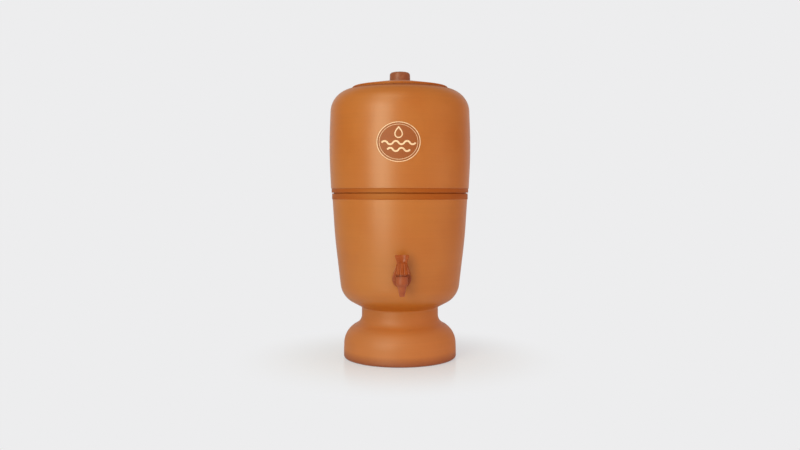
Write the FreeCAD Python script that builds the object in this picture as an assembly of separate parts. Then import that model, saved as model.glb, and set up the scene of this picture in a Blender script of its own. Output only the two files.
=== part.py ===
"""Terracotta gravity water filter: two stacked clay chambers, lid, filter candle, float valve and tap.

Units are millimetres. +Z is up, the origin is the centre of the foot's resting face, the tap points to -Y.
Every piece is a solid of its own, written to parts/NAME.step.
"""

import FreeCAD, Part
import math
import os

V = FreeCAD.Vector
UP = V(0, 0, 1)
BACK = V(0, 1, 0)
SIDE = V(1, 0, 0)
ORIGIN = V(0, 0, 0)

# ---------------------------------------------------------------- driving dimensions

# Clay
clay_wall = 9.5
foot_wall = 11.0
upper_floor_thickness = 11.0
seam_edge_round = 1.0
inside_corner_round = 14.0

# Pedestal foot
foot_radius = 97.6
foot_edge_round = 4.0
foot_rim_height = 14.0
foot_rim_round = 120.0
foot_lean = 1.2
foot_shoulder_height = 47.0
foot_shoulder_round = 36.5
neck_radius = 66.4
neck_bottom_height = 63.0
neck_bottom_round = 17.5
neck_top_round = 5.0
pedestal_height = 87.6

# Lower chamber, heights above the pedestal
bowl_underside_inset = 14.5
bowl_underside_rise = 11.1
bowl_underside_round = 29.0
bowl_base_inset = 11.5
bowl_base_rise = 23.0
bowl_base_round = 40.0
lower_belly_inset = 5.2
lower_belly_rise = 119.4
lower_belly_round = 900.0
seam_radius = 118.2
lower_height = 196.9
lower_band_height = 10.4
lower_rim_wall = 10.5
seam_gap = 1.2
seam_gap_depth = 4.0

# Upper chamber, heights above the seam
upper_overhang = 1.4
upper_band_height = 8.7
upper_band_recess = 0.5
upper_belly_bulge = 4.0
upper_belly_rise = 76.2
upper_belly_round = 900.0
upper_height = 180.9
shoulder_inset = 4.0
shoulder_round = 40.0
mouth_inner_radius = 74.0
spigot_depth = 8.0
spigot_clearance = 1.2
spigot_edge_round = 3.2

# Lid and knob
lid_overlap = 9.5
lid_edge_height = 4.2
lid_lower_edge_round = 1.6
lid_upper_edge_round = 2.0
lid_crown_radius = 33.0
lid_crown_rise = 8.9
lid_crown_round = 60.0
lid_skirt_depth = 8.0
lid_skirt_width = 7.0
lid_skirt_clearance = 1.0
lid_skirt_round = 2.0
knob_radius = 18.2
knob_taper = 0.6
knob_height = 17.3
knob_foot_round = 1.2
knob_top_round = 5.0
knob_screw_radius = 2.5
knob_screw_bite = 12.0
knob_screw_hole_spare = 1.0
knob_screw_tip_round = 0.8
knob_screw_head_reach = 2.3
knob_screw_head_height = 3.2
knob_screw_head_round = 1.6
knob_screw_slot_length = 4.8
knob_screw_slot_width = 1.2
knob_screw_slot_depth = 1.6
knob_washer_margin = 2.7
knob_washer_thickness = 1.4

# Candle filter
stem_radius = 6.0
stem_bore_radius = 2.5
stem_end_round = 0.8
stem_hole_clearance = 1.5
gasket_width = 10.7
gasket_thickness = 3.0
candle_cup_wall = 3.7
candle_base_height = 14.0
candle_base_flange = 5.0
candle_base_edge_round = 2.0
candle_shell_radius = 31.0
candle_shell_wall = 7.0
candle_shell_height = 104.0
candle_shell_foot_round = 1.0
candle_dome_round = 27.0
candle_fill_height = 62.0
wing_nut_wall = 4.4
wing_nut_height = 9.0
wing_nut_edge_round = 1.1
wing_reach = 11.0
wing_thickness = 4.0
wing_lower_round = 2.2
wing_upper_round = 3.6

# Float valve
valve_socket_wall = 3.4
valve_socket_depth = 10.0
valve_socket_gap = 1.0
valve_socket_edge_round = 1.0
valve_floor = 4.0
valve_floor_edge_round = 2.0
valve_spout_wall = 1.9
valve_spout_length = 3.0
valve_spout_edge_round = 0.5
valve_bore_radius = 1.6
ear_thickness = 2.5
ear_radius = 3.6
arm_width = 7.0
arm_thickness = 5.0
arm_length = 74.0
pivot_offset = 12.0
pivot_drop = 5.0
pivot_pin_radius = 1.5
pivot_pin_fit = 0.02
float_droop_deg = 24.0
heel_length = 6.5
pad_margin = 0.7
pad_thickness = 2.0
pad_seat_gap = 0.3
float_radius = 20.0
float_height = 24.0
float_edge_round = 8.0
float_wall = 1.6
float_seat_radius = 8.0

# Tap
tap_height = 59.4
tap_pad_margin = 1.5
tap_pad_stand = 0.2
tap_washer_width = 6.2
tap_washer_thickness = 2.5
tap_flange_margin = 1.0
tap_flange_thickness = 3.5
tap_flange_edge_round = 1.2
flange_boss_round = 2.5
tap_shank_radius = 8.0
tap_shank_bore = 3.2
tap_hole_clearance = 0.6
tap_nut_wall = 4.9
tap_nut_thickness = 8.0
tap_nut_chamfer = 1.5
tap_nut_face_step = 0.5
tap_shank_spare = 4.0
tap_arm_radius = 5.4
barrel_offset = 14.5
barrel_wall = 3.4
barrel_rise = 5.6
barrel_drop = 7.0
barrel_shoulder_drop = 4.5
barrel_shoulder_round = 3.0
barrel_lip_width = 0.6
barrel_lip_height = 2.0
barrel_neck_wall = 1.25
barrel_neck_height = 7.0
plug_top_radius = 6.1
plug_bottom_radius = 5.2
plug_reach = 8.5
plug_port_radius = 2.7
plug_neck_radius = 3.8
plug_square = 5.4
plug_square_height = 8.0
o_ring_section = 0.85
cap_nut_wall = 1.5
cap_nut_grip = 3.0
cap_nut_lip = 1.4
cap_nut_edge_round = 0.6
cap_nut_grooves = 16
cap_nut_groove_radius = 0.6
nozzle_top_radius = 7.3
nozzle_top_round = 2.2
nozzle_tip_wall = 1.0
nozzle_tip_round = 0.6
nozzle_bore_radius = 3.2
nozzle_drop = 27.0
handle_gap = 0.4
skirt_lift = 3.4
skirt_wall = 4.3
skirt_waist_radius = 8.4
skirt_waist_round = 25.0
skirt_crown_inset = 1.7
skirt_height = 17.0
skirt_edge = 1.2
skirt_edge_round = 0.4
skirt_flutes = 12
skirt_flute_radius = 2.2
skirt_flute_depth = 1.5
skirt_flute_top_radius = 1.1
fin_flare = 4.0
fin_thickness = 6.0
fin_height = 13.6
fin_bend_rise = 2.4
fin_side_round = 12.0
fin_corner_round = 2.4
fin_edge_round = 1.2
fin_root_depth = 7.0
scoop_radius = 14.0
scoop_depth = 1.1
scoop_rise = 7.0

# Clearances between fitted plastic parts
running_clearance = 0.05
thread_clearance = 0.1
light_gap = 0.3

# How far a cutting tool runs past the face it opens, and a joined piece into its neighbour
past_face = 1.0

# ---------------------------------------------------------------- radii and heights worked out from them

lower_belly_radius = seam_radius - lower_belly_inset
bowl_base_radius = lower_belly_radius - bowl_base_inset
bowl_underside_radius = bowl_base_radius - bowl_underside_inset
upper_base_radius = seam_radius + upper_overhang
upper_band_radius = upper_base_radius - upper_band_recess
upper_belly_radius = upper_base_radius + upper_belly_bulge
shoulder_radius = upper_belly_radius - shoulder_inset
lid_radius = mouth_inner_radius + lid_overlap
knob_screw_head_radius = knob_screw_radius + knob_screw_head_reach
knob_washer_radius = knob_screw_head_radius + knob_washer_margin

gasket_radius = stem_radius + light_gap + gasket_width
candle_base_radius = candle_shell_radius + light_gap + candle_cup_wall
wing_nut_radius = stem_radius + thread_clearance + wing_nut_wall
valve_socket_radius = stem_radius + thread_clearance + valve_socket_wall
valve_spout_radius = valve_bore_radius + valve_spout_wall
pad_radius = valve_spout_radius + pad_margin

tap_washer_radius = tap_shank_radius + light_gap + tap_washer_width
tap_flange_radius = tap_washer_radius + tap_flange_margin
tap_pad_radius = tap_flange_radius + tap_pad_margin
tap_nut_across_flats = 2 * (tap_shank_radius + thread_clearance + tap_nut_wall)
barrel_radius = plug_top_radius + running_clearance + barrel_wall
barrel_neck_radius = plug_top_radius + running_clearance + barrel_neck_wall
cap_nut_radius = barrel_neck_radius + thread_clearance + cap_nut_wall
nozzle_tip_radius = nozzle_bore_radius + nozzle_tip_wall
skirt_bore_radius = cap_nut_radius + handle_gap
skirt_radius = skirt_bore_radius + skirt_wall

seam_z = pedestal_height + lower_height
mouth_z = seam_z + upper_height
bowl_floor_z = pedestal_height + clay_wall
upper_floor_bottom_z = seam_z - spigot_depth
upper_floor_top_z = upper_floor_bottom_z + upper_floor_thickness
stem_hole_radius = stem_radius + stem_hole_clearance
lid_edge_top_z = mouth_z + lid_edge_height
lid_crown_z = lid_edge_top_z + lid_crown_rise
tap_z = pedestal_height + tap_height


# ---------------------------------------------------------------- helpers


def rounded_wire(corners):
    """Closed wire in the XZ plane. A corner is (x, z) or (x, z, radius), and its edges limit the radius."""
    points = [V(c[0], 0, c[1]) for c in corners]
    radii = [c[2] if len(c) > 2 else 0.0 for c in corners]
    count = len(points)
    setbacks, half_turns = [], []
    for i in range(count):
        before = (points[i - 1] - points[i]).normalize()
        after = (points[(i + 1) % count] - points[i]).normalize()
        half_inside = before.getAngle(after) / 2
        half_turns.append(math.pi / 2 - half_inside)
        setbacks.append(radii[i] * math.tan(half_turns[i]))
    for i in range(count):
        j = (i + 1) % count
        length = points[i].distanceToPoint(points[j])
        wanted = setbacks[i] + setbacks[j]
        if wanted > 0.98 * length:
            setbacks[i] *= 0.98 * length / wanted
            setbacks[j] *= 0.98 * length / wanted
    edges, starts, ends = [], [], []
    for i in range(count):
        before = (points[i - 1] - points[i]).normalize()
        after = (points[(i + 1) % count] - points[i]).normalize()
        starts.append(points[i] + before * setbacks[i])
        ends.append(points[i] + after * setbacks[i])
        if setbacks[i] > 1e-4:
            radius = setbacks[i] / math.tan(half_turns[i])
            inward = (before + after).normalize()
            centre = points[i] + inward * (radius / math.cos(half_turns[i]))
            edges.append(Part.Arc(starts[i], centre - inward * radius, ends[i]).toShape())
        else:
            edges.append(None)
    loop = []
    for i in range(count):
        j = (i + 1) % count
        if edges[i] is not None:
            loop.append(edges[i])
        if ends[i].distanceToPoint(starts[j]) > 1e-6:
            loop.append(Part.makeLine(ends[i], starts[j]))
    return Part.Wire(loop)


def turned(corners):
    """Solid of revolution about the Z axis."""
    return Part.Face(rounded_wire(corners)).revolve(ORIGIN, UP, 360)


def plate(corners, thickness):
    """Outline in the XZ plane made a plate of that thickness, centred on Y = 0."""
    face = Part.Face(rounded_wire(corners))
    face.translate(BACK * (-thickness / 2))
    return face.extrude(BACK * thickness)


def rod(radius, length, start, direction=UP):
    return Part.makeCylinder(radius, length, start, direction)


def ring(outer, inner, height, z):
    return turned([(inner, z), (outer, z), (outer, z + height), (inner, z + height)])


def box_between(low, high):
    return Part.makeBox(high.x - low.x, high.y - low.y, high.z - low.z, low)


def hexagon_prism(across_flats, length):
    """Hexagonal prism along +Z from the origin, with flats facing X."""
    corner = across_flats / math.sqrt(3)
    turns = [math.radians(30 + 60 * i) for i in range(7)]
    points = [V(corner * math.cos(t), corner * math.sin(t), 0) for t in turns]
    return Part.Face(Part.makePolygon(points)).extrude(UP * length)


def lay_back(shape):
    """Turns a shape made about Z so that its +Z points to the back, +Y."""
    shape.rotate(ORIGIN, SIDE, -90)
    return shape


def on_line(z, low, high):
    """Radius at height z on the straight line through two (radius, z) corners."""
    share = (z - low[1]) / (high[1] - low[1])
    return low[0] + share * (high[0] - low[0])


def inset(chain, distance, least_round=0.0):
    """The corners of an open chain moved to its left, as the inside of a wall of that thickness.

    The two ends keep their own radius, and no corner between them comes out sharper than least_round.
    """
    points = [V(c[0], 0, c[1]) for c in chain]
    radii = [c[2] if len(c) > 2 else 0.0 for c in chain]
    along = [(b - a).normalize() for a, b in zip(points, points[1:])]
    last = len(chain) - 1
    moved = []
    for i, point in enumerate(points):
        before = along[max(i - 1, 0)]
        after = along[min(i, last - 1)]
        left = V(-before.z, 0, before.x) + V(-after.z, 0, after.x)
        spot = point + left * (distance / (1 + before.dot(after)))
        radius = radii[i]
        if 0 < i < last:
            turns_left = before.x * after.z - before.z * after.x > 0
            radius = max(radius - distance if turns_left else radius + distance, least_round)
        moved.append((spot.x, spot.z, radius))
    return moved


# ---------------------------------------------------------------- clay chambers

pedestal_outside = [
    (foot_radius, 0, foot_edge_round),
    (foot_radius, foot_rim_height, foot_rim_round),
    (foot_radius - foot_lean, foot_shoulder_height, foot_shoulder_round),
    (neck_radius, neck_bottom_height, neck_bottom_round),
    (neck_radius, pedestal_height, neck_top_round),
]
bowl_outside = [
    (0, pedestal_height),
    (neck_radius, pedestal_height, neck_top_round),
    (bowl_underside_radius, pedestal_height + bowl_underside_rise, bowl_underside_round),
    (bowl_base_radius, pedestal_height + bowl_base_rise, bowl_base_round),
    (lower_belly_radius, pedestal_height + lower_belly_rise, lower_belly_round),
    (seam_radius, seam_z),
]
bowl_inside = inset(bowl_outside, clay_wall, inside_corner_round)
upper_outside = [
    (upper_base_radius, seam_z),
    (upper_belly_radius, seam_z + upper_belly_rise, upper_belly_round),
    (shoulder_radius, mouth_z, shoulder_round),
    (mouth_inner_radius, mouth_z),
]
upper_inside = inset(upper_outside, clay_wall)
lower_rim_inner_radius = seam_radius - lower_rim_wall

tap_seat = on_line(tap_z, bowl_outside[3], bowl_outside[4]) - tap_pad_stand


def innermost_clay_at_tap():
    """Distance from the pot's axis to the clay nearest it round the edge of the tap's pad."""
    reaches = []
    for degrees in range(0, 181, 5):
        turn = math.radians(degrees)
        radius = on_line(tap_z - tap_pad_radius * math.cos(turn), bowl_inside[3], bowl_inside[4])
        reaches.append(math.sqrt(radius**2 - (tap_pad_radius * math.sin(turn)) ** 2))
    return min(reaches)


tap_inner_seat = innermost_clay_at_tap() - tap_pad_stand


def make_lower_chamber():
    """Bowl and hollow pedestal in one turned piece, with flattened pads round the tap hole."""
    band_z = seam_z - lower_band_height
    band_start = on_line(band_z, bowl_outside[4], bowl_outside[5])
    step = seam_radius - band_start
    rim = [
        (band_start, band_z, step),
        (seam_radius, band_z + step, step),
        (seam_radius, seam_z, seam_edge_round),
        (lower_rim_inner_radius, seam_z, seam_edge_round),
    ]
    outside = pedestal_outside + bowl_outside[2:5]
    inside = bowl_inside[4:0:-1] + [(0, bowl_floor_z), (0, pedestal_height)]
    foot_hollow = inset(pedestal_outside, foot_wall)[::-1]
    pot = turned(outside + rim + inside + foot_hollow)
    depth = tap_seat - tap_inner_seat
    pad = rod(tap_pad_radius, depth, V(0, -tap_seat, tap_z), BACK)
    clear_front = rod(tap_pad_radius, foot_wall, V(0, -tap_seat - foot_wall, tap_z), BACK)
    hole_radius = tap_shank_radius + tap_hole_clearance
    hole = rod(hole_radius, 3 * depth, V(0, -tap_seat - depth, tap_z), BACK)
    return pot.fuse(pad).cut(clear_front).cut(hole).removeSplitter()


def make_upper_chamber():
    """Chamber with a rounded shoulder. Its stepped floor drops into the lower chamber's mouth.

    The outer edge of its base is cut back, which leaves a fine groove all round at the seam.
    """
    band_z = seam_z + upper_band_height
    wall_start = on_line(band_z, upper_outside[0], upper_outside[1])
    step = wall_start - upper_band_radius
    gap_radius = upper_band_radius - seam_gap_depth
    gap_top = seam_z + seam_gap
    spigot_radius = lower_rim_inner_radius - spigot_clearance
    floor_corner = on_line(upper_floor_top_z, upper_inside[0], upper_inside[1])
    return turned(
        [
            (upper_band_radius, gap_top, seam_edge_round),
            (upper_band_radius, band_z - step / 2, step / 2),
            (wall_start, band_z, step / 2),
            upper_outside[1],
            upper_outside[2],
            (mouth_inner_radius, mouth_z, seam_edge_round),
            (mouth_inner_radius, mouth_z - clay_wall, seam_edge_round),
            upper_inside[2],
            upper_inside[1],
            (floor_corner, upper_floor_top_z, inside_corner_round),
            (stem_hole_radius, upper_floor_top_z),
            (stem_hole_radius, upper_floor_bottom_z),
            (spigot_radius, upper_floor_bottom_z, spigot_edge_round),
            (spigot_radius, seam_z),
            (gap_radius, seam_z),
            (gap_radius, gap_top),
        ]
    )


# ---------------------------------------------------------------- lid and knob


def make_lid():
    """Low-crowned clay disc with a ring underneath that centres it in the mouth."""
    skirt_outer = mouth_inner_radius - lid_skirt_clearance
    skirt_bottom = mouth_z - lid_skirt_depth
    hole = knob_screw_radius + light_gap
    return turned(
        [
            (hole, mouth_z),
            (skirt_outer - lid_skirt_width, mouth_z, lid_skirt_round),
            (skirt_outer - lid_skirt_width, skirt_bottom, lid_skirt_round),
            (skirt_outer, skirt_bottom, lid_skirt_round),
            (skirt_outer, mouth_z),
            (lid_radius, mouth_z, lid_lower_edge_round),
            (lid_radius, lid_edge_top_z, lid_upper_edge_round),
            (lid_crown_radius, lid_crown_z, lid_crown_round),
            (hole, lid_crown_z),
        ]
    )


def make_lid_knob():
    """Moulded knob with a slight taper and a blind screw boss."""
    top_radius = knob_radius - knob_taper
    top_z = lid_crown_z + knob_height
    hole = knob_screw_radius + thread_clearance
    hole_top = lid_crown_z + knob_screw_bite + knob_screw_hole_spare
    return turned(
        [
            (hole, lid_crown_z),
            (knob_radius, lid_crown_z, knob_foot_round),
            (top_radius, top_z, knob_top_round),
            (0, top_z),
            (0, hole_top),
            (hole, hole_top),
        ]
    )


def make_knob_washer():
    hole = knob_screw_radius + light_gap
    return ring(knob_washer_radius, hole, knob_washer_thickness, mouth_z - knob_washer_thickness)


def make_knob_screw():
    """Pan-head screw driven up through the lid into the knob, with a cross recess in its head."""
    head_top = mouth_z - knob_washer_thickness
    head_bottom = head_top - knob_screw_head_height
    tip_z = lid_crown_z + knob_screw_bite
    screw = turned(
        [
            (0, head_bottom),
            (knob_screw_head_radius, head_bottom, knob_screw_head_round),
            (knob_screw_head_radius, head_top),
            (knob_screw_radius, head_top),
            (knob_screw_radius, tip_z, knob_screw_tip_round),
            (0, tip_z),
        ]
    )
    half_length = knob_screw_slot_length / 2
    half_width = knob_screw_slot_width / 2
    slot_low = V(-half_length, -half_width, head_bottom - past_face)
    slot_high = V(half_length, half_width, head_bottom + knob_screw_slot_depth)
    for turn in (0, 90):
        slot = box_between(slot_low, slot_high)
        slot.rotate(ORIGIN, UP, turn)
        screw = screw.cut(slot)
    return screw


# ---------------------------------------------------------------- candle filter

candle_base_z = upper_floor_top_z + gasket_thickness
shell_seat_z = candle_base_z + candle_base_flange
nut_top_z = upper_floor_bottom_z - gasket_thickness
nut_bottom_z = nut_top_z - wing_nut_height
valve_top_z = nut_bottom_z - valve_socket_gap
stem_bottom_z = valve_top_z - valve_socket_depth


def make_candle_base():
    """Moulded cup that holds the ceramic shell, with the threaded stem and its bore below."""
    cup_bore = candle_shell_radius + light_gap
    return turned(
        [
            (stem_bore_radius, stem_bottom_z),
            (stem_radius, stem_bottom_z, stem_end_round),
            (stem_radius, candle_base_z),
            (candle_base_radius, candle_base_z, candle_base_edge_round),
            (candle_base_radius, candle_base_z + candle_base_height, candle_base_edge_round),
            (cup_bore, candle_base_z + candle_base_height),
            (cup_bore, shell_seat_z),
            (stem_bore_radius, shell_seat_z),
        ]
    )


def make_candle_shell():
    """Porous ceramic thimble with a domed end, open at the bottom."""
    top_z = shell_seat_z + candle_shell_height
    inner = candle_shell_radius - candle_shell_wall
    return turned(
        [
            (inner, shell_seat_z),
            (candle_shell_radius, shell_seat_z, candle_shell_foot_round),
            (candle_shell_radius, top_z, candle_dome_round),
            (0, top_z),
            (0, top_z - candle_shell_wall),
            (inner, top_z - candle_shell_wall, candle_dome_round - candle_shell_wall),
        ]
    )


def make_candle_fill():
    """Packed carbon charge inside the shell."""
    radius = candle_shell_radius - candle_shell_wall - light_gap
    return rod(radius, candle_fill_height, V(0, 0, shell_seat_z))


def make_candle_gasket(z):
    return ring(gasket_radius, stem_radius + light_gap, gasket_thickness, z)


def make_wing_nut():
    """Round nut with two finger wings."""
    hub = turned(
        [
            (stem_radius + thread_clearance, nut_bottom_z),
            (wing_nut_radius, nut_bottom_z, wing_nut_edge_round),
            (wing_nut_radius, nut_top_z, wing_nut_edge_round),
            (stem_radius + thread_clearance, nut_top_z),
        ]
    )
    inner = (wing_nut_radius + stem_radius) / 2
    reach = wing_nut_radius + wing_reach
    wing_top = nut_top_z - wing_nut_edge_round
    for side in (1, -1):
        wing = plate(
            [
                (side * inner, nut_bottom_z + wing_nut_edge_round),
                (side * reach, nut_bottom_z, wing_lower_round),
                (side * reach, wing_top, wing_upper_round),
                (side * inner, wing_top),
            ],
            wing_thickness,
        )
        hub = hub.fuse(wing)
    return hub.removeSplitter()


# ---------------------------------------------------------------- float valve

valve_bottom_z = stem_bottom_z - valve_floor
spout_tip_z = valve_bottom_z - valve_spout_length
pivot = V(0, -pivot_offset, spout_tip_z - pivot_drop)
arm_top_z = spout_tip_z - pad_seat_gap - pad_thickness
ear_inner = arm_width / 2 + light_gap
ear_outer = ear_inner + ear_thickness


def drooped(shape):
    """Turns a piece of the float from its closed position to where it hangs when the chamber is empty."""
    shape.rotate(pivot, SIDE, -float_droop_deg)
    return shape


def make_valve_body():
    """Socket that screws on the candle's stem, a short spout and two ears for the float arm's pin."""
    body = turned(
        [
            (stem_radius + thread_clearance, valve_top_z),
            (valve_socket_radius, valve_top_z, valve_socket_edge_round),
            (valve_socket_radius, valve_bottom_z, valve_floor_edge_round),
            (valve_spout_radius, valve_bottom_z),
            (valve_spout_radius, spout_tip_z, valve_spout_edge_round),
            (valve_bore_radius, spout_tip_z),
            (valve_bore_radius, stem_bottom_z),
            (stem_radius + thread_clearance, stem_bottom_z),
        ]
    )
    ear_top = stem_bottom_z
    for side in (1, -1):
        low, high = sorted((side * ear_inner, side * ear_outer))
        ear = Part.makeCylinder(ear_radius, high - low, V(low, pivot.y, pivot.z), SIDE)
        web = box_between(V(low, pivot.y - ear_radius, pivot.z), V(high, pivot.y + ear_radius, ear_top))
        body = body.fuse([ear, web])
    stop = box_between(
        V(-ear_outer, pivot.y - ear_radius, stop_height()), V(ear_outer, -valve_socket_radius / 2, ear_top)
    )
    keep_bore = rod(stem_radius + thread_clearance, 2 * valve_socket_depth, V(0, 0, stem_bottom_z))
    pin_hole = rod(pivot_pin_radius + pivot_pin_fit, 4 * ear_outer, V(-2 * ear_outer, pivot.y, pivot.z), SIDE)
    return body.fuse(stop).cut([keep_bore, pin_hole]).removeSplitter()


def stop_height():
    """Underside of the web that the arm's heel meets when the float hangs."""
    droop = math.radians(float_droop_deg)
    heel_corner = heel_length * math.sin(droop) + (arm_top_z - pivot.z) * math.cos(droop)
    return pivot.z + heel_corner + light_gap


def make_pivot_pin():
    return rod(pivot_pin_radius, 2 * ear_outer, V(-ear_outer, pivot.y, pivot.z), SIDE)


def make_float_arm():
    """Lever with the pin hole at its heel and a round seat for the float at its far end."""
    bottom = arm_top_z - arm_thickness
    end_y = pivot.y + arm_length
    bar = box_between(V(-arm_width / 2, pivot.y - heel_length, bottom), V(arm_width / 2, end_y, arm_top_z))
    hub = Part.makeCylinder(ear_radius, arm_width, V(-arm_width / 2, pivot.y, pivot.z), SIDE)
    seat = rod(float_seat_radius, arm_thickness, V(0, end_y, bottom))
    hole = rod(pivot_pin_radius + running_clearance, 2 * arm_width, V(-arm_width, pivot.y, pivot.z), SIDE)
    above_low = V(-arm_width, pivot.y - 2 * heel_length, arm_top_z)
    above_arm = box_between(above_low, V(arm_width, end_y, spout_tip_z))
    return drooped(bar.fuse([hub, seat]).cut([hole, above_arm]).removeSplitter())


def make_seal_pad():
    return drooped(rod(pad_radius, pad_thickness, V(0, 0, arm_top_z)))


def float_half(above):
    """One half of the hollow float, open at the equator. The halves meet face to face under the arm's end."""
    end_y = pivot.y + arm_length
    top_z = arm_top_z - arm_thickness
    middle_z = top_z - float_height / 2
    outer_z = top_z if above else top_z - float_height
    inward = -1 if above else 1
    inner_z = outer_z + inward * float_wall
    inner_radius = float_radius - float_wall
    half = turned(
        [
            (0, outer_z),
            (float_radius, outer_z, float_edge_round),
            (float_radius, middle_z),
            (inner_radius, middle_z),
            (inner_radius, inner_z, float_edge_round - float_wall),
            (0, inner_z),
        ]
    )
    half.translate(BACK * end_y)
    return drooped(half)


# ---------------------------------------------------------------- tap

flange_front = tap_seat + tap_washer_thickness + tap_flange_thickness
flange_back = tap_seat + tap_washer_thickness
nut_front = tap_inner_seat - tap_washer_thickness
shank_end = nut_front - tap_nut_thickness - tap_shank_spare
barrel_y = -(flange_front + barrel_offset)
barrel_top_z = tap_z + barrel_rise
neck_top_z = barrel_top_z + barrel_neck_height
plug_bottom_z = tap_z - plug_reach
nozzle_tip_z = tap_z - nozzle_drop
cap_lip_z = neck_top_z + thread_clearance
plug_top_z = cap_lip_z - 2 * o_ring_section - running_clearance
cap_nut_top_z = cap_lip_z + cap_nut_lip
hub_z = cap_nut_top_z + handle_gap
skirt_z = barrel_top_z + skirt_lift
waist_z = skirt_z + skirt_height


def at_barrel(shape):
    shape.translate(BACK * barrel_y)
    return shape


def make_tap_body():
    """Threaded shank, flange, upright barrel with a tapered seat for the plug, and the nozzle."""
    shank = rod(tap_shank_radius, flange_back - shank_end, V(0, -flange_back, tap_z), BACK)
    flange = lay_back(
        turned(
            [
                (0, -2 * flange_boss_round),
                (tap_arm_radius, -2 * flange_boss_round),
                (tap_arm_radius, 0, flange_boss_round),
                (tap_flange_radius, 0, tap_flange_edge_round),
                (tap_flange_radius, tap_flange_thickness),
                (0, tap_flange_thickness),
            ]
        )
    )
    flange.translate(V(0, -flange_front, tap_z))
    arm = rod(tap_arm_radius, barrel_offset, V(0, -flange_front - barrel_offset, tap_z), BACK)
    lip_radius = barrel_radius + barrel_lip_width
    lip_z = barrel_top_z - barrel_lip_height
    narrowing_z = tap_z - barrel_drop
    barrel = at_barrel(
        turned(
            [
                (0, nozzle_tip_z),
                (nozzle_tip_radius, nozzle_tip_z, nozzle_tip_round),
                (nozzle_top_radius, narrowing_z - barrel_shoulder_drop, nozzle_top_round),
                (barrel_radius, narrowing_z, barrel_shoulder_round),
                (barrel_radius, lip_z),
                (lip_radius, lip_z, barrel_lip_width / 2),
                (lip_radius, barrel_top_z, barrel_lip_width),
                (barrel_neck_radius, barrel_top_z),
                (barrel_neck_radius, neck_top_z),
                (0, neck_top_z),
            ]
        )
    )
    top_bore = plug_top_radius + running_clearance
    bottom_bore = plug_bottom_radius + running_clearance
    bore = at_barrel(
        turned(
            [
                (0, nozzle_tip_z - past_face),
                (nozzle_bore_radius, nozzle_tip_z - past_face),
                (nozzle_bore_radius, plug_bottom_z - light_gap),
                (bottom_bore, plug_bottom_z - light_gap),
                (bottom_bore, plug_bottom_z),
                (top_bore, plug_top_z),
                (top_bore, neck_top_z + past_face),
                (0, neck_top_z + past_face),
            ]
        )
    )
    water_way = rod(tap_shank_bore, -barrel_y - shank_end + past_face, V(0, barrel_y, tap_z), BACK)
    return shank.fuse([flange, arm, barrel]).cut([bore, water_way]).removeSplitter()


def make_tap_plug():
    """Tapered plug with an elbow port that faces sideways when the tap is shut, and a square drive on top."""
    half = plug_square / 2
    body = turned(
        [
            (0, plug_bottom_z),
            (plug_bottom_radius, plug_bottom_z),
            (plug_top_radius, plug_top_z),
            (plug_neck_radius, plug_top_z),
            (plug_neck_radius, hub_z),
            (0, hub_z),
        ]
    )
    square = box_between(V(-half, -half, hub_z - past_face), V(half, half, hub_z + plug_square_height))
    side_port = rod(plug_port_radius, 2 * plug_top_radius, V(0, 0, tap_z), SIDE)
    down_port = rod(plug_port_radius, plug_reach + plug_port_radius, V(0, 0, plug_bottom_z))
    return at_barrel(body.fuse(square).cut([side_port, down_port]).removeSplitter())


def make_plug_o_ring():
    """Ring that seals the plug's neck under the cap nut's lip."""
    torus = Part.makeTorus(plug_neck_radius + running_clearance + o_ring_section, o_ring_section)
    torus.translate(UP * (plug_top_z + o_ring_section + running_clearance / 2))
    return at_barrel(torus)


def make_cap_nut():
    """Ribbed nut that screws on the barrel's neck inside the handle's skirt and keeps the plug in."""
    bottom = neck_top_z - cap_nut_grip
    thread_radius = barrel_neck_radius + thread_clearance
    neck_bore = plug_neck_radius + running_clearance
    nut = turned(
        [
            (thread_radius, bottom),
            (cap_nut_radius, bottom, cap_nut_edge_round),
            (cap_nut_radius, cap_nut_top_z, cap_nut_edge_round),
            (neck_bore, cap_nut_top_z),
            (neck_bore, cap_lip_z),
            (thread_radius, cap_lip_z),
        ]
    )
    reach = cap_nut_radius + cap_nut_groove_radius / 2
    length = cap_nut_top_z - bottom + 2 * past_face
    grooves = []
    for i in range(cap_nut_grooves):
        turn = 2 * math.pi * i / cap_nut_grooves
        start = V(reach * math.cos(turn), reach * math.sin(turn), bottom - past_face)
        grooves.append(rod(cap_nut_groove_radius, length, start))
    return at_barrel(nut.cut(grooves))


def make_handle_skirt():
    """Hollow fluted cone that covers the cap nut."""
    skirt = turned(
        [
            (0, hub_z),
            (skirt_bore_radius, hub_z),
            (skirt_bore_radius, skirt_z),
            (skirt_radius, skirt_z, skirt_edge_round),
            (skirt_radius, skirt_z + skirt_edge, skirt_edge_round),
            (skirt_waist_radius, waist_z, skirt_waist_round),
            (skirt_waist_radius - skirt_crown_inset, waist_z + skirt_edge, skirt_edge),
            (0, waist_z + skirt_edge),
        ]
    )
    slant = math.atan2(skirt_radius - skirt_waist_radius, skirt_height)
    flutes = []
    for i in range(skirt_flutes):
        low = V(0, 0, -past_face)
        flute = Part.makeCone(skirt_flute_radius, skirt_flute_top_radius, 1.5 * skirt_height, low)
        flute.rotate(ORIGIN, BACK, -math.degrees(slant))
        flute.translate(V(skirt_radius + skirt_flute_radius - skirt_flute_depth, 0, skirt_z))
        flute.rotate(ORIGIN, UP, 360 * (i + 0.5) / skirt_flutes)
        flutes.append(flute)
    return skirt.cut(flutes)


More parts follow.
